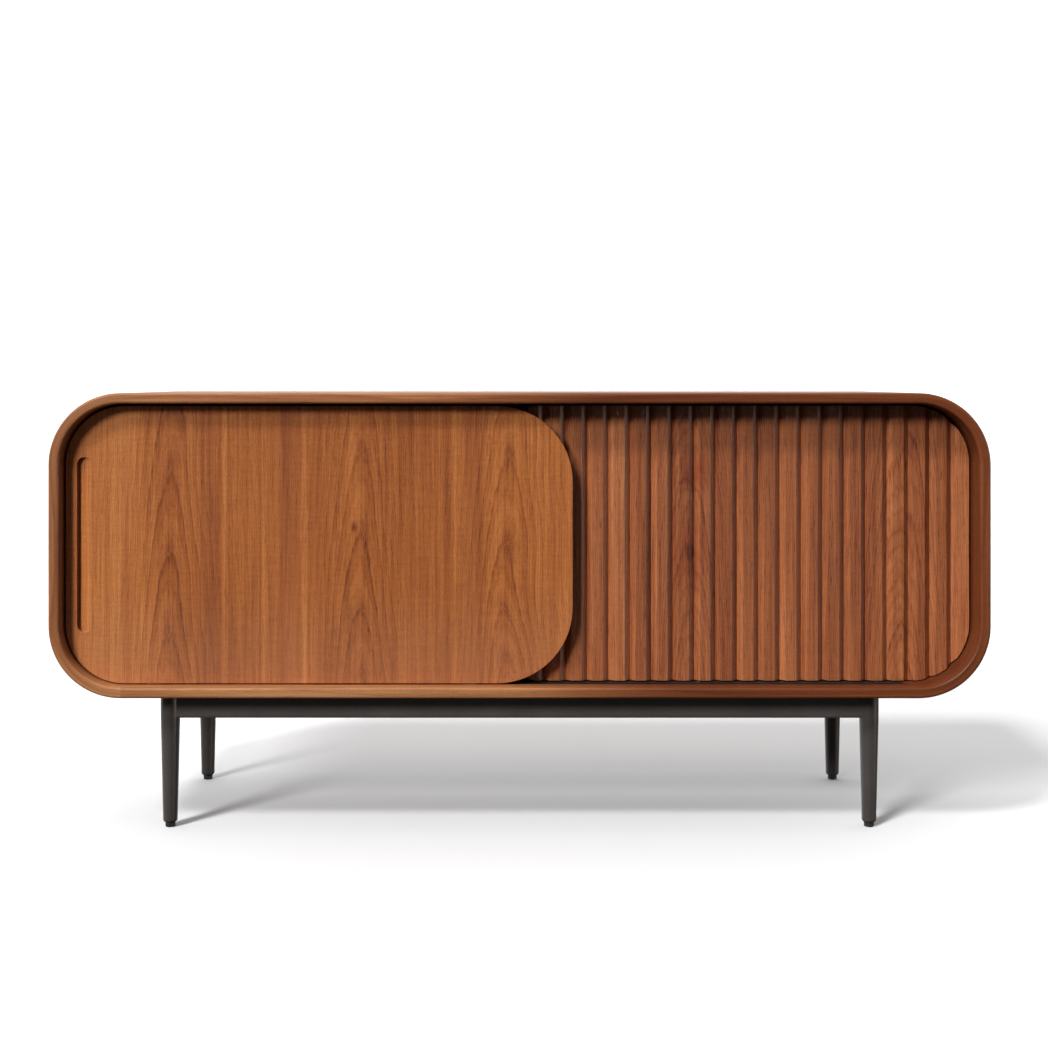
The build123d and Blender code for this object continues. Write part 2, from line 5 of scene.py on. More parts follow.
import bmesh
import bpy
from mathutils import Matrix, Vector


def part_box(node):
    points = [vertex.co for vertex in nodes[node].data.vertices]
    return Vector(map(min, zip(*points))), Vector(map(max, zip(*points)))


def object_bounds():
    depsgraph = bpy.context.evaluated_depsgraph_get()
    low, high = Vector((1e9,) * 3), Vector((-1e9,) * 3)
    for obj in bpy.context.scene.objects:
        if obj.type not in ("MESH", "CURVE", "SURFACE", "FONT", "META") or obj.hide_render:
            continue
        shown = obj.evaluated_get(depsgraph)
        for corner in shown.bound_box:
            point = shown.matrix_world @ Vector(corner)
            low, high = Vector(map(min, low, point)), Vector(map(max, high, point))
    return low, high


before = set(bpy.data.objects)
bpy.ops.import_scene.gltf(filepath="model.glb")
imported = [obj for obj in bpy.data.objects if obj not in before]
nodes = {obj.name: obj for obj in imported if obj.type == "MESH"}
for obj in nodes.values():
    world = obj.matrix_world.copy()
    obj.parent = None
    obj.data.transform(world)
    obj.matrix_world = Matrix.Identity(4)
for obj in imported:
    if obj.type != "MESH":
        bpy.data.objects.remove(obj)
cad_low, cad_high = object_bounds()

# ---------------------------------------------------------------- places read from the frame

# The straight boards end, and the rounded corners begin, at corner_x, side_low_z and side_high_z
corner_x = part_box("top_panel")[1].x
case_top_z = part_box("top_panel")[1].z
side_low_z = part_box("left_side_panel")[0].z
side_high_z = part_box("left_side_panel")[1].z
corner_r = case_top_z - side_high_z
corner_arc = corner_r * math.pi / 2
side_h = side_high_z - side_low_z

# The front door's outline is the ribbed door's, mirrored
ribs_low, ribs_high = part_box("ribbed_door_ribs")
door_left_x = -ribs_high.x
door_foot_z = ribs_low.z

# The ribs themselves, which are one node: their pitch, and the first groove from the door's outer edge
RIB_PITCH = 0.03482
FIRST_GROOVE = 0.0280

# ---------------------------------------------------------------- colours

# A tone is a colour as it is seen. The base colour under it is worked out from the light that falls on
# the doors or the case, and from the thin veil of gloss on top.
FRONT_LIGHT = 0.66
CASE_LIGHT = 0.84
GLOSS_VEIL = 0.002
LEAST_SHARE = 0.3


def tone(red, green, blue, light=FRONT_LIGHT):
    """The base colour of a surface that is seen as this 0-255 colour under this much light."""
    seen = [c / 255 for c in (red, green, blue)]
    linear = [c / 12.92 if c <= 0.04045 else ((c + 0.055) / 1.055) ** 2.4 for c in seen]
    return tuple(max(c - GLOSS_VEIL, c * LEAST_SHARE) / light for c in linear) + (1.0,)


# Each row of stops runs from the palest grain to the darkest
DOOR_TONES = (
    (0.05, tone(181, 118, 66)),
    (0.32, tone(157, 94, 49)),
    (0.55, tone(134, 74, 36)),
    (0.82, tone(104, 53, 26)),
    (1.0, tone(76, 36, 19)),
)
RIB_TONES = (
    (0.05, tone(170, 109, 70)),
    (0.32, tone(144, 86, 52)),
    (0.58, tone(120, 67, 40)),
    (0.85, tone(88, 44, 27)),
    (1.0, tone(62, 29, 19)),
)
# Painted light and shade: the case's wood and its rubbed edges in lit tones and in shaded tones, which the
# case's looks mix from left to right
CASE_PAINTED_LIT_TONES = (
    (0.05, tone(186, 132, 89, CASE_LIGHT)),
    (0.35, tone(158, 103, 64, CASE_LIGHT)),
    (0.60, tone(137, 83, 49, CASE_LIGHT)),
    (1.0, tone(96, 51, 28, CASE_LIGHT)),
)
CASE_PAINTED_SHADE_TONES = (
    (0.05, tone(142, 82, 47, CASE_LIGHT)),
    (0.35, tone(111, 58, 31, CASE_LIGHT)),
    (0.60, tone(93, 46, 23, CASE_LIGHT)),
    (1.0, tone(60, 26, 14, CASE_LIGHT)),
)
CASE_PAINTED_LIT_WEAR = tone(206, 160, 120, CASE_LIGHT)
CASE_PAINTED_SHADE_WEAR = tone(150, 92, 58, CASE_LIGHT)
INNER_TONES = (
    (0.05, tone(150, 96, 58)),
    (0.35, tone(122, 72, 41)),
    (0.65, tone(98, 54, 31)),
    (1.0, tone(66, 33, 20)),
)
BACK_TONES = (
    (0.05, tone(138, 92, 60)),
    (0.35, tone(116, 72, 44)),
    (0.65, tone(96, 57, 35)),
    (1.0, tone(70, 38, 24)),
)
BEECH_TONES = (
    (0.05, tone(232, 196, 148)),
    (0.4, tone(216, 174, 124)),
    (0.7, tone(198, 152, 104)),
    (1.0, tone(168, 120, 78)),
)
BLACK = (0.0, 0.0, 0.0, 1.0)
WHITE = (1.0, 1.0, 1.0, 1.0)

# ---------------------------------------------------------------- shader arithmetic


class Field:
    """A number that varies over a surface. Arithmetic on it adds Math nodes to its material."""

    def __init__(self, look, socket):
        self.look = look
        self.socket = socket

    def _math(self, operation, *others, swap=False):
        node = self.look.node("ShaderNodeMath", operation=operation)
        values = [self, *others]
        if swap:
            values.reverse()
        for socket, value in zip(node.inputs, values):
            self.look.put(socket, value)
        return Field(self.look, node.outputs[0])

    def __add__(self, other):
        return self._math("ADD", other)

    __radd__ = __add__

    def __sub__(self, other):
        return self._math("SUBTRACT", other)

    def __rsub__(self, other):
        return self._math("SUBTRACT", other, swap=True)

    def __mul__(self, other):
        return self._math("MULTIPLY", other)

    def __truediv__(self, other):
        return self._math("DIVIDE", other)

    def __abs__(self):
        return self._math("ABSOLUTE")

    def fract(self):
        return self._math("FRACT")

    def floor(self):
        return self._math("FLOOR")

    def above(self, other):
        return self._math("GREATER_THAN", other)

    def angle_from(self, other):
        return self._math("ARCTAN2", other)

    def hypot(self, other):
        return (self * self + other * other)._math("SQRT")

    def smooth(self, low, high):
        """0 below low, 1 above high, smooth between. A high below low turns it round."""
        node = self.look.node("ShaderNodeMapRange", interpolation_type="SMOOTHSTEP")
        self.look.put(node.inputs["Value"], self)
        turned = high < low
        node.inputs["From Min"].default_value = min(low, high)
        node.inputs["From Max"].default_value = max(low, high)
        node.inputs["To Min"].default_value = 1.0 if turned else 0.0
        node.inputs["To Max"].default_value = 0.0 if turned else 1.0
        return Field(self.look, node.outputs["Result"])

    def hump(self, centre, width):
        """1 at the centre, falling smoothly to 0 at this distance from it."""
        return abs(self - centre).smooth(width, 0.0)


class Look:
    """A material on the object's own coordinates, so it stays with its piece in every pose."""

    # How far each unit of seed moves a noise along x, y and z
    SEED_STEPS = (1.7, 3.1, 5.3)

    def __init__(self, name):
        self.material = bpy.data.materials.new(name)
        self.material.use_nodes = True
        self.tree = self.material.node_tree
        self.shader = self.tree.nodes["Principled BSDF"]
        self.place = self.node("ShaderNodeTexCoord").outputs["Object"]
        split = self.node("ShaderNodeSeparateXYZ")
        self.put(split.inputs[0], self.place)
        self.x, self.y, self.z = (Field(self, socket) for socket in split.outputs)

    def node(self, kind, **settings):
        """A new node of this kind with these settings."""
        made = self.tree.nodes.new(kind)
        for key, value in settings.items():
            setattr(made, key, value)
        return made

    def put(self, socket, value):
        """Link a field or a socket to this input, or set a plain value on it."""
        if isinstance(value, Field):
            value = value.socket
        if isinstance(value, bpy.types.NodeSocket):
            self.tree.links.new(value, socket)
        else:
            socket.default_value = value

    def vector(self, x, y, z):
        node = self.node("ShaderNodeCombineXYZ")
        for socket, value in zip(node.inputs, (x, y, z)):
            self.put(socket, value)
        return node.outputs[0]

    def noise(self, place, per_metre, detail, rough, seed):
        """Smooth noise from 0 to 1 about 0.5, with its own number of lumps a metre along each axis."""
        spread = self.node("ShaderNodeMapping", vector_type="POINT")
        self.put(spread.inputs["Vector"], place)
        spread.inputs["Scale"].default_value = per_metre
        spread.inputs["Location"].default_value = [seed * step for step in self.SEED_STEPS]
        node = self.node("ShaderNodeTexNoise")
        self.put(node.inputs["Vector"], spread.outputs[0])
        node.inputs["Scale"].default_value = 1.0
        node.inputs["Detail"].default_value = detail
        node.inputs["Roughness"].default_value = rough
        return Field(self, node.outputs[0])

    def even_noise(self, per_metre, detail, rough, seed):
        """Noise with the same number of lumps a metre along all axes."""
        return self.noise(self.place, (per_metre, per_metre, per_metre), detail, rough, seed)

    def chance(self, number):
        """A fixed random number from 0 to 1 for each whole number."""
        node = self.node("ShaderNodeTexWhiteNoise", noise_dimensions="1D")
        self.put(node.inputs["W"], number)
        return Field(self, node.outputs["Value"])

    def ramp(self, factor, stops):
        """The colour at this factor on a row of (position, colour) stops."""
        node = self.node("ShaderNodeValToRGB")
        self.put(node.inputs[0], factor)
        points = node.color_ramp.elements
        while len(points) < len(stops):
            points.new(0.5)
        for point, (position, colour) in zip(points, stops):
            point.position = position
            point.color = colour
        return node.outputs[0]

    def mix(self, factor, first, second):
        """The first colour at factor 0 and the second at 1."""
        node = self.node("ShaderNodeMix", data_type="RGBA")
        # The Mix node's colour sockets come after its number and vector sockets
        self.put(node.inputs[0], factor)
        self.put(node.inputs[6], first)
        self.put(node.inputs[7], second)
        return node.outputs[2]

    def finish(self, colour, roughness, height, depth, specular, metallic=0.0):
        """Colour, roughness and a bump of this depth in metres go to the shader."""
        self.put(self.shader.inputs["Base Color"], colour)
        self.put(self.shader.inputs["Roughness"], roughness)
        self.shader.inputs["Metallic"].default_value = metallic
        self.shader.inputs["Specular IOR Level"].default_value = specular
        bump = self.node("ShaderNodeBump")
        bump.inputs["Strength"].default_value = 1.0
        bump.inputs["Distance"].default_value = depth
        self.put(bump.inputs["Height"], height)
        self.put(self.shader.inputs["Normal"], bump.outputs[0])
        return self.material


# ---------------------------------------------------------------- wood


class Grain:
    """The layers of one board's grain: across and depth are square to it, and along follows it."""

    def __init__(self, look, across, depth, along, seed):
        place = look.vector(across, depth, along)
        self.place = place
        self.band = look.noise(place, (13, 13, 0.7), 2, 0.5, seed)
        self.streak = look.noise(place, (120, 120, 2.4), 3, 0.6, seed + 1)
        self.fine = look.noise(place, (460, 460, 7), 2, 0.6, seed + 2)
        self.ticks = look.noise(place, (620, 620, 34), 1, 0.5, seed + 3).smooth(0.60, 0.72)
        self.chatter = look.noise(place, (20, 20, 210), 2, 0.5, seed + 4)
        self.sway = look.noise(place, (7, 7, 2.3), 2, 0.5, seed + 5)
        self.feather = look.noise(place, (330, 330, 13), 2, 0.55, seed + 6)
        self.speckle = look.noise(place, (640, 640, 330), 1, 0.5, seed + 7)

    def plain(self, band, streak, fine, ticks, chatter, speckle=0.35):
        """How dark the grain is where no growth rings are drawn, about 0.5, with this much of each layer."""
        return (
            0.5
            + (self.band - 0.5) * band
            + (self.streak - 0.5) * streak
            + (self.fine - 0.5) * fine
            + (self.chatter - 0.5) * chatter
            + (self.speckle - 0.5) * speckle
            + self.ticks * ticks
        )

    def surface(self, dark):
        """Height and roughness: open pores and dark late wood lie lower and shine less."""
        height = 0.7 - self.ticks * 0.6 - self.fine * 0.3
        roughness = (
            0.40
            + self.ticks * 0.18
            + (self.fine - 0.5) * 0.14
            + (self.band - 0.5) * 0.10
            + dark * 0.05
        )
        return height, roughness


def by_leaf(across, borders, values):
    """The value of the veneer leaf that this place lies in, between one border and the next."""
    value = values[0]
    for border, before, after in zip(borders, values, values[1:]):
        value = across.above(border) * (after - before) + value
    return value


def arched_rings(look, grain, aside, depth, number, pitch, zigzag, wiggle):
    """Growth rings of a flat-sawn leaf, as its late wood, its early wood and its smoky patches.

    aside is the distance from the leaf's heart line, and depth is how far under the face the heart lies.
    """
    lifted = depth + (grain.feather - 0.5) * zigzag
    radius = aside.hypot(lifted) + (grain.sway - 0.5) * 0.020 + (grain.streak - 0.5) * wiggle
    turns = radius / pitch
    part = turns.fract()
    # A ring darkens slowly, ends in a thin dark line and starts pale again
    strength = look.chance(turns.floor() + number * 37.0) * 0.6 + 0.4
    glow = part.smooth(0.30, 0.95) * 0.55
    line = part.smooth(0.78, 0.94) * 0.45
    late = (glow + line) * part.smooth(1.0, 0.93) * strength
    # Three thin lines to a ring
    third = (turns * 3.0 + (grain.fine - 0.5) * 0.5).fract()
    early = third.smooth(0.5, 0.9) * third.smooth(1.0, 0.9)
    # Smoke lies on the heart line, just inside each ring
    smoke = abs(aside).smooth(0.019, 0.003) * part.smooth(0.26, 0.01) * grain.streak.smooth(0.25, 0.65)
    return late, early, smoke


def straight_rings(look, turns, darkest, pale_again, pale_until):
    """Growth rings that run straight: each darkens slowly, up to darkest, and ends at once."""
    part = turns.fract()
    strength = look.chance(turns.floor()) * 0.7 + 0.3
    return part.smooth(pale_until, darkest) * part.smooth(1.0, pale_again) * strength


def edge_wear(look, radius):
    """1 on sharp edges and 0 on faces, from how far a rounded normal leans from the true one."""
    rounded = look.node("ShaderNodeBevel", samples=4)
    rounded.inputs["Radius"].default_value = radius
    true = look.node("ShaderNodeNewGeometry").outputs["Normal"]
    lean = look.node("ShaderNodeVectorMath", operation="DOT_PRODUCT")
    look.put(lean.inputs[0], rounded.outputs[0])
    look.put(lean.inputs[1], true)
    return Field(look, lean.outputs["Value"]).smooth(0.995, 0.80)


# ---------------------------------------------------------------- the doors

# The front door's veneer leaves, from left to right. Hearts and borders are measured from the door's left
# edge, and the lowest arch tip up from its foot; the other tips follow it at this spacing.
DOOR_HEARTS = (0.1705, 0.4725, 0.7105)
DOOR_BORDERS = (0.3215, 0.5925)
DOOR_LOWEST_TIPS = (0.130, 0.143, 0.063)
DOOR_TIP_SPACINGS = (0.1175, 0.112, 0.099)
DOOR_RING_PITCH = 0.0078
DOOR_HEART_DEPTH = 0.048

# Bands of the front door's veneer: distance from its left edge, half width and strength
VIOLET_BANDS = (
    (0.0895, 0.040, 0.3),
    (0.2265, 0.030, 0.6),
    (0.3575, 0.035, 0.8),
    (0.6545, 0.026, 0.6),
)
PALE_STREAKS = (
    (0.2555, 0.007, 1.0),
    (0.3185, 0.006, 1.0),
    (0.3835, 0.006, 1.0),
    (0.6255, 0.008, 1.0),
    (0.7595, 0.010, 0.6),
)
DOOR_KNOT = (0.4635, 0.251)
DOOR_KNOT_R = 0.007

# The ribs' leaves, measured in the same way from the left edge and the foot of the ribbed door
RIB_HEARTS = (0.1055, 0.3625, 0.7025)
RIB_BORDERS = (0.2355, 0.5455)
RIB_LOWEST_TIP = 0.063
RIB_TIP_SPACING = 0.105
RIB_RING_PITCH = 0.0085
RIB_HEART_DEPTH = 0.040
RIB_KNOT = (0.3625, 0.206)
RIB_KNOT_R = 0.009
RIB_SWIRL = (0.3695, 0.338)


def bands(across, rows):
    """The sum of some bands, each given by its place, half width and strength."""
    return sum(across.hump(place, half_w) * strength for place, half_w, strength in rows)


def door_veneer():
    """Three arched leaves of reddish brown veneer with one small knot, paler along the door's foot from a
    painted reflection of the floor, and paler towards its left from painted light.
    """
    look = Look("door_veneer_look")
    across = look.x - door_left_x
    up = look.z - door_foot_z
    aside = across - by_leaf(across, DOOR_BORDERS, DOOR_HEARTS)
    number = by_leaf(across, DOOR_BORDERS, range(len(DOOR_HEARTS)))
    lowest_tip = by_leaf(across, DOOR_BORDERS, DOOR_LOWEST_TIPS)
    spacing = by_leaf(across, DOOR_BORDERS, DOOR_TIP_SPACINGS)
    grain = Grain(look, look.x + number * 3.0, look.y, look.z, 11.0)
    lean = (grain.sway - 0.5) * 0.05
    depth = (up - lowest_tip) / spacing * DOOR_RING_PITCH + DOOR_HEART_DEPTH
    late, early, smoke = arched_rings(
        look, grain, aside + lean, depth, number, DOOR_RING_PITCH, zigzag=0.0030, wiggle=0.0012
    )
    near_heart = abs(aside).smooth(0.085, 0.02)
    late = late * (near_heart * 0.65 + 0.35)
    violet = bands(across, VIOLET_BANDS)
    pale = bands(across, PALE_STREAKS) * grain.streak.smooth(0.30, 0.60)
    knot_x, knot_z = DOOR_KNOT
    knot = (across - knot_x).hypot((up - knot_z) * 0.5).smooth(DOOR_KNOT_R, 0.0)
    dark = (
        grain.plain(band=0.85, streak=0.60, fine=0.50, ticks=0.16, chatter=0.20) * 0.84
        + late * 0.32
        + early * 0.10
        + smoke * 0.30
        + knot * 0.45
        + violet * 0.12
        - pale * 0.22
        # Painted light: paler towards the door's left
        - across.smooth(0.2795, 0.1095) * 0.13
    )
    wood = look.ramp(dark, DOOR_TONES)
    wood = look.mix(violet * 0.30 + smoke * 0.35, wood, tone(112, 58, 42))
    # Painted reflection of the pale floor: paler and greyer along the door's foot
    wood = look.mix(up.smooth(0.183, -0.002) * 0.20, wood, tone(152, 108, 84))
    wood = look.mix(edge_wear(look, 0.0015) * 0.35, wood, tone(186, 122, 74))
    height, roughness = grain.surface(dark)
    return look.finish(wood, roughness, height, 0.00025, specular=0.32)


def rib_wood():
    """Solid battens, each of its own tone, with arches, a knot and a curly patch above it."""
    look = Look("rib_wood_look")
    across = look.x - ribs_low.x
    up = look.z - ribs_low.z
    rib = ((ribs_high.x - FIRST_GROOVE - look.x) / RIB_PITCH).floor()
    luck = look.chance(rib + 5.0)
    hue = look.chance(rib + 71.0)
    aside = across - by_leaf(across, RIB_BORDERS, RIB_HEARTS)
    number = by_leaf(across, RIB_BORDERS, range(len(RIB_HEARTS)))
    grain = Grain(look, look.x + luck * 0.02, look.y, look.z + luck * 0.4, 29.0)
    knot_x, knot_z = RIB_KNOT
    knot = (across - knot_x).hypot((up - knot_z) * 0.45)
    swirl_x, swirl_z = RIB_SWIRL
    curl = (across - swirl_x).hypot((up - swirl_z) * 0.7).smooth(0.034, 0.004)
    mottle = look.noise(look.place, (60, 60, 30), 3, 0.6, 31.0)
    swirl = knot.smooth(0.045, 0.0) * 0.6 + curl * mottle * 1.7
    height_in_rings = (up - RIB_LOWEST_TIP) / RIB_TIP_SPACING * RIB_RING_PITCH
    depth = height_in_rings + RIB_HEART_DEPTH + swirl * 0.004
    late, early, smoke = arched_rings(
        look, grain, aside, depth, number, RIB_RING_PITCH, zigzag=0.0026, wiggle=0.0018
    )
    near_heart = abs(aside).smooth(0.10, 0.03)
    late = late * (near_heart * 0.7 + 0.3) * (number * 0.18 + 0.40)
    dark = (
        grain.plain(band=0.7, streak=1.0, fine=0.75, ticks=0.35, chatter=0.12) * 0.80
        + late * 0.30
        + smoke * 0.16
        + early * 0.14
        + (luck - 0.5) * 0.20
        + knot.smooth(RIB_KNOT_R, 0.001) * 0.6
        + swirl * 0.16
    )
    wood = look.ramp(dark, RIB_TONES)
    wood = look.mix(swirl * 0.45 + hue * 0.10, wood, tone(112, 44, 24))
    wood = look.mix(edge_wear(look, 0.0012) * 0.30, wood, tone(150, 92, 56))
    height, roughness = grain.surface(dark)
    return look.finish(wood, roughness, height, 0.0004, specular=0.42)


# ---------------------------------------------------------------- the case and the plain boards

CASE_RING_PITCH = 0.0105
FLAT_RING_PITCH = 0.014

# How far the case's wood is from its painted lit tones to its painted shaded ones, behind the front
EVEN_PAINTED_SHADE = 0.45

UP, DOWN, LEFT, RIGHT = (0, 1), (0, -1), (-1, 0), (1, 0)
top_left = (-corner_x, side_high_z)
top_right = (corner_x, side_high_z)
foot_left = (-corner_x, side_low_z)
foot_right = (corner_x, side_low_z)

# For each board: a point in x and z, the way out of the case there, the way along the board, the distance
# round the case at the point, which way that distance grows, and whether the board is a corner
case_boards = {
    "top_panel": ((0, side_high_z), UP, RIGHT, 0, 1, False),
    "top_right_corner": (top_right, UP, RIGHT, corner_x, 1, True),
    "right_side_panel": (top_right, RIGHT, DOWN, corner_x + corner_arc, 1, False),
    "bottom_right_corner": (foot_right, RIGHT, DOWN, corner_x + corner_arc + side_h, 1, True),
    "bottom_panel": (foot_right, DOWN, LEFT, corner_x + 2 * corner_arc + side_h, 1, False),
    "top_left_corner": (top_left, UP, LEFT, -corner_x, -1, True),
    "left_side_panel": (top_left, LEFT, DOWN, -corner_x - corner_arc, -1, False),
    "bottom_left_corner": (foot_left, LEFT, DOWN, -corner_x - corner_arc - side_h, -1, True),
}


def case_wood(name, start, out, along, begin, sense, corner):
    """Grain that runs round the case, from one board into the next."""
    look = Look(name)
    x = look.x - start[0]
    z = look.z - start[1]
    side = x * along[0] + z * along[1]
    outward = x * out[0] + z * out[1]
    if corner:
        travel = side.angle_from(outward) * (corner_r * sense) + begin
        outward = side.hypot(outward)
    else:
        travel = side * sense + begin
    grain = Grain(look, look.y, outward, travel, 43.0)
    sway = look.noise(grain.place, (5, 5, 1.1), 2, 0.5, 61.0)
    turns = (look.y + outward * 0.6 + (sway - 0.5) * 0.10) / CASE_RING_PITCH
    late = straight_rings(look, turns, darkest=0.92, pale_again=0.93, pale_until=0.35)
    dark = grain.plain(band=0.7, streak=0.8, fine=0.5, ticks=0.22, chatter=0.08) * 0.74 + late * 0.30

    # Painted light and shade: the front's colour is painted lit at its left and painted shaded at its right
    # and at its far left end
    drift = (grain.band - 0.5) * 0.25 + (look.z - side_high_z) * 0.25
    far_left = look.x.smooth(-corner_x - 0.025, -corner_x - 0.095)
    painted_shade_mix = (look.x + drift).smooth(-0.16, 0.20) + far_left * 0.25
    near_front = look.y.smooth(cad_low.y + 0.18, cad_low.y + 0.03)
    painted_shade_mix = (painted_shade_mix - EVEN_PAINTED_SHADE) * near_front + EVEN_PAINTED_SHADE

    # Painted shade and light: the bottom board is darker at its right and paler at its left
    at_foot = look.z.smooth(side_low_z, side_low_z - 0.08)
    dark = dark + look.x.smooth(-0.05, 0.15) * at_foot * 0.14
    dark = dark - look.x.smooth(-0.10, -0.30) * at_foot * 0.14

    # The wood and the colour of its rubbed edges are mixed from painted lit and painted shaded tones
    wood = look.mix(painted_shade_mix, look.ramp(dark, CASE_PAINTED_LIT_TONES), look.ramp(dark, CASE_PAINTED_SHADE_TONES))
    wear_with_painted_shade = look.mix(painted_shade_mix, CASE_PAINTED_LIT_WEAR, CASE_PAINTED_SHADE_WEAR)
    wood = look.mix(edge_wear(look, 0.0014) * 0.14, wood, wear_with_painted_shade)
    height, roughness = grain.surface(dark)
    return look.finish(wood, roughness, height, 0.0003, specular=0.3)


def flat_wood(name, across, along, stops, seed, specular=0.25):
    """A plain board, whose grain runs along one named axis with its rings across another."""
    look = Look(name)
    axes = {"x": look.x, "y": look.y, "z": look.z}
    rest = ({"x", "y", "z"} - {across, along}).pop()
    grain = Grain(look, axes[across], axes[rest], axes[along], seed)
    sway = look.noise(grain.place, (4, 4, 0.9), 2, 0.5, seed + 9)
    turns = (axes[across] + (sway - 0.5) * 0.16) / FLAT_RING_PITCH
    late = straight_rings(look, turns, darkest=0.9, pale_again=0.9, pale_until=0.3)
    dark = grain.plain(band=0.7, streak=0.7, fine=0.4, ticks=0.2, chatter=0.08) * 0.78 + late * 0.25
    wood = look.ramp(dark, stops)
    palest = stops[0][1]
    wood = look.mix(edge_wear(look, 0.0015) * 0.25, wood, palest)
    height, roughness = grain.surface(dark)
    return look.finish(wood, roughness, height, 0.0003, specular=specular)


# ---------------------------------------------------------------- metal and plastic


def powder_coat(name, dark_tone, light_tone):
    """Matt paint with a fine orange peel, and a little rubbed at its edges."""
    look = Look(name)
    cloud = look.noise(look.place, (9, 9, 5), 3, 0.55, 3.0)
    orange_peel = look.even_noise(420, 3, 0.6, 4.0)
    speck = look.even_noise(1500, 1, 0.5, 5.0)
    paint = cloud * 0.6 + orange_peel * 0.25 + speck * 0.15
    colour = look.ramp(paint, ((0.25, dark_tone), (0.75, light_tone)))
    patchy = look.even_noise(60, 3, 0.6, 6.0).smooth(0.35, 0.7)
    colour = look.mix(edge_wear(look, 0.0015) * patchy * 0.35, colour, tone(112, 107, 103))
    roughness = 0.36 + (cloud - 0.5) * 0.10 + (orange_peel - 0.5) * 0.12
    height = orange_peel * 0.8 + speck * 0.2
    return look.finish(colour, roughness, height, 0.00012, specular=0.5)


def plastic(name, dark_tone, light_tone, base_roughness):
    """Moulded plastic with a fine stipple."""
    look = Look(name)
    cloud = look.even_noise(30, 3, 0.55, 7.0)
    stipple = look.even_noise(1800, 2, 0.6, 8.0)
    colour = look.ramp(cloud * 0.6 + stipple * 0.4, ((0.3, dark_tone), (0.7, light_tone)))
    colour = look.mix(edge_wear(look, 0.0008) * 0.3, colour, light_tone)
    roughness = base_roughness + (stipple - 0.5) * 0.2 + (cloud - 0.5) * 0.1
    return look.finish(colour, roughness, stipple, 0.00006, specular=0.4)


def metal(name, dark_tone, light_tone, base_roughness, lines, metallic=1.0):
    """Metal with fine lines: lines gives how many a metre along each axis."""
    look = Look(name)
    cloud = look.even_noise(25, 3, 0.55, 9.0)
    brush = look.noise(look.place, lines, 3, 0.6, 10.0)
    colour = look.ramp(cloud * 0.5 + brush * 0.5, ((0.3, dark_tone), (0.7, light_tone)))
    colour = look.mix(edge_wear(look, 0.0008) * 0.4, colour, light_tone)
    roughness = base_roughness + (brush - 0.5) * 0.25 + (cloud - 0.5) * 0.12
    return look.finish(colour, roughness, brush, 0.00003, specular=0.5, metallic=metallic)


# ---------------------------------------------------------------- every node gets its look

LENGTHWISE_LINES = (4, 700, 700)
EVEN_LINES = (300, 300, 300)

# By the name of the finish that the frame gives a node
looks = {
    "door_veneer": door_veneer(),
    "rib_wood": rib_wood(),
    "inner_veneer": flat_wood("inner_veneer_look", "y", "x", INNER_TONES, 83.0),
    "backing_board": flat_wood("backing_board_look", "x", "z", INNER_TONES, 91.0),
    "back_board": flat_wood("back_board_look", "z", "x", BACK_TONES, 97.0, specular=0.2),
    "raw_beech": flat_wood("raw_beech_look", "x", "z", BEECH_TONES, 101.0, specular=0.2),
    "base_steel": powder_coat("base_steel_look", tone(49, 45, 43), tone(68, 64, 62)),
    "dark_track": metal(
        "dark_track_look", tone(34, 29, 27), tone(58, 50, 46), 0.42, LENGTHWISE_LINES, metallic=0.6
    ),
    "zinc_steel": metal(
        "zinc_steel_look", tone(150, 148, 142), tone(206, 206, 204), 0.34, EVEN_LINES
    ),
    "foot_plastic": plastic("foot_plastic_look", tone(24, 23, 23), tone(44, 42, 41), 0.55),
    "black_plastic": plastic("black_plastic_look", tone(28, 28, 29), tone(50, 50, 51), 0.45),
    "roller_nylon": plastic("roller_nylon_look", tone(206, 202, 188), tone(232, 230, 220), 0.4),
}

# The case's boards have a look each, and the rails' colour is a little paler than the legs': painted light
# standing in for the light the floor would throw up under the case
own_looks = {name: case_wood(f"{name}_look", *board) for name, board in case_boards.items()}
rail_look_with_painted_bounce = powder_coat("base_rail_look", tone(62, 58, 55), tone(86, 81, 78))
for name in ("base_front_rail", "base_rear_rail", "base_left_rail", "base_right_rail"):
    own_looks[name] = rail_look_with_painted_bounce

for name, node in nodes.items():
    for slot in node.material_slots:
        finish = slot.material.name.split(".")[0]
        slot.material = own_looks[name] if name in own_looks else looks[finish]

# ---------------------------------------------------------------- floor and backdrop

FLOOR_R = 7.0
FLOOR_DISC_R = 0.6
RIM_R = 3.0
RIM_STEPS = 16
WALL_TOP = 9.0
FLOOR_TURNS = 96
WALL_GLOW = 0.8
WALL_GLOW_FROM = 0.02
WALL_GLOW_FULL = 1.5
FLOOR_TONES = ((0.3, (0.87, 0.875, 0.88, 1)), (0.7, (0.89, 0.895, 0.90, 1)))


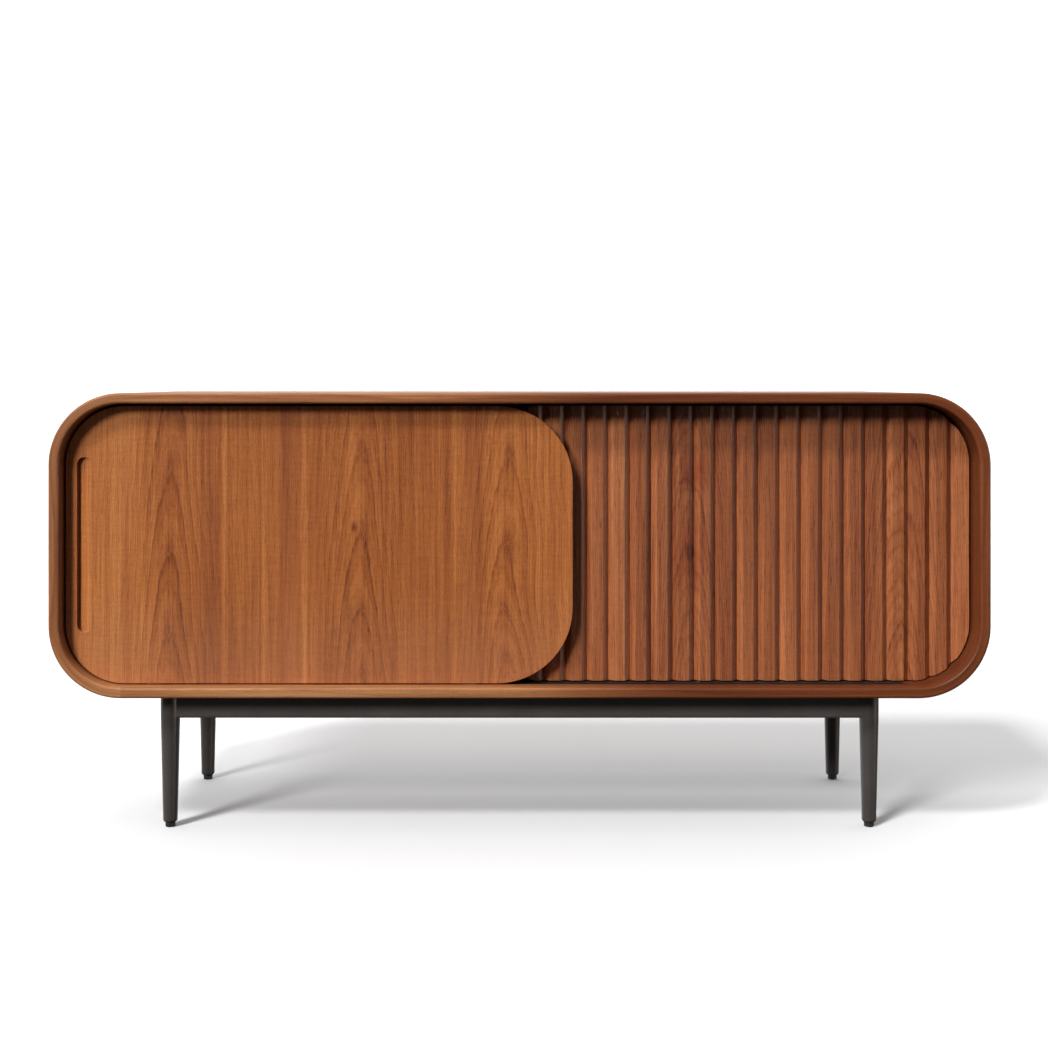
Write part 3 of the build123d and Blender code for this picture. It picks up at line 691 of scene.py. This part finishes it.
def floor_mesh():
    """A round floor whose rim curves up into a wall, as loops of corners from the middle outwards."""
    profile = [(FLOOR_DISC_R, 0.0), (FLOOR_R, 0.0)]
    for step in range(1, RIM_STEPS + 1):
        lift = math.pi / 2 * step / RIM_STEPS
        profile.append((FLOOR_R + RIM_R * math.sin(lift), RIM_R - RIM_R * math.cos(lift)))
    profile.append((FLOOR_R + RIM_R, WALL_TOP))
    angles = [2 * math.pi * turn / FLOOR_TURNS for turn in range(FLOOR_TURNS)]
    mesh = bmesh.new()
    loops = [
        [mesh.verts.new((radius * math.cos(angle), radius * math.sin(angle), z)) for angle in angles]
        for radius, z in profile
    ]
    mesh.faces.new(loops[0])
    for inner, outer in zip(loops, loops[1:]):
        for turn in range(FLOOR_TURNS):
            after = (turn + 1) % FLOOR_TURNS
            mesh.faces.new((inner[turn], outer[turn], outer[after], inner[after])).smooth = True
    data = bpy.data.meshes.new("floor")
    mesh.to_mesh(data)
    mesh.free()
    return data


def floor_look():
    """Plain pale paint that glows white up the wall."""
    look = Look("floor_look")
    cloud = look.even_noise(1.5, 3, 0.5, 12.0)
    glow = look.ramp(look.z.smooth(WALL_GLOW_FROM, WALL_GLOW_FULL), ((0.0, BLACK), (1.0, WHITE)))
    look.put(look.shader.inputs["Emission Color"], glow)
    look.shader.inputs["Emission Strength"].default_value = WALL_GLOW
    colour = look.ramp(cloud, FLOOR_TONES)
    return look.finish(colour, 0.85 + (cloud - 0.5) * 0.1, cloud, 0.0002, specular=0.1)


def studio_floor():
    """The floor takes shadows, and casts no light back on the cabinet."""
    floor = bpy.data.objects.new("floor", floor_mesh())
    floor.visible_diffuse = False
    floor.visible_glossy = False
    floor.visible_shadow = False
    bpy.context.scene.collection.objects.link(floor)
    floor.data.materials.append(floor_look())


# ---------------------------------------------------------------- light

# The sky is brightest this way, behind and above the cabinet, and dim in front of its doors
SKY_BRIGHTEST = (-0.20, 0.74, 0.64)
SKY_DIM = 0.055
SKY_BRIGHT = 1.1
SKY_DIM_UNTIL = -0.30
SKY_BRIGHT_FROM = 0.75
EDGE_COLOUR = (1.0, 0.82, 0.72)


def lamp(name, travels, strength, softness_deg, colour=(1.0, 1.0, 1.0), gloss_only=False):
    """A distant lamp whose light travels this way. One that is gloss only shows just in reflections."""
    data = bpy.data.lights.new(name, "SUN")
    data.energy = strength
    data.angle = math.radians(softness_deg)
    data.color = colour
    made = bpy.data.objects.new(name, data)
    made.visible_diffuse = not gloss_only
    made.rotation_euler = Vector(travels).to_track_quat("-Z", "Y").to_euler()
    bpy.context.scene.collection.objects.link(made)


def sky():
    """A soft white sky, whose strength depends on the angle to its brightest part."""
    world = bpy.data.worlds.new("studio")
    world.use_nodes = True
    tree = world.node_tree
    place = tree.nodes.new("ShaderNodeTexCoord")
    toward = tree.nodes.new("ShaderNodeVectorMath")
    toward.operation = "DOT_PRODUCT"
    toward.inputs[1].default_value = SKY_BRIGHTEST
    spread = tree.nodes.new("ShaderNodeMapRange")
    spread.interpolation_type = "SMOOTHSTEP"
    spread.inputs["From Min"].default_value = SKY_DIM_UNTIL
    spread.inputs["From Max"].default_value = SKY_BRIGHT_FROM
    spread.inputs["To Min"].default_value = SKY_DIM
    spread.inputs["To Max"].default_value = SKY_BRIGHT
    background = tree.nodes["Background"]
    background.inputs["Color"].default_value = WHITE
    tree.links.new(place.outputs["Generated"], toward.inputs[0])
    tree.links.new(toward.outputs["Value"], spread.inputs["Value"])
    tree.links.new(spread.outputs["Result"], background.inputs["Strength"])
    return world


studio_floor()
lamp("key", (0.50, 0.62, -1.0), 1.6, 9)
lamp("fill", (0.62, 0.85, -0.54), 2.05, 15)
lamp("edge", (-1.0, 0.36, -0.06), 1.4, 12, colour=EDGE_COLOUR, gloss_only=True)
scene = bpy.context.scene
scene.world = sky()
scene.view_settings.view_transform = "Standard"

# ---------------------------------------------------------------- camera

# It stands level in front of the case, a little above its top and to the right of its middle
CAMERA_RIGHT = 0.007
CAMERA_AHEAD = 2.4
CAMERA_ABOVE = 0.02
SENSOR_MM = 36.0
LENS_MM = 51.87
SHIFT_DOWN = 0.137

camera_data = bpy.data.cameras.new("camera")
camera_data.sensor_width = SENSOR_MM
camera_data.lens = LENS_MM
camera_data.shift_y = -SHIFT_DOWN
camera = bpy.data.objects.new("camera", camera_data)
camera.location = (CAMERA_RIGHT, cad_low.y - CAMERA_AHEAD, case_top_z + CAMERA_ABOVE)
camera.rotation_euler = (math.pi / 2, 0.0, 0.0)
scene.collection.objects.link(camera)
scene.camera = camera
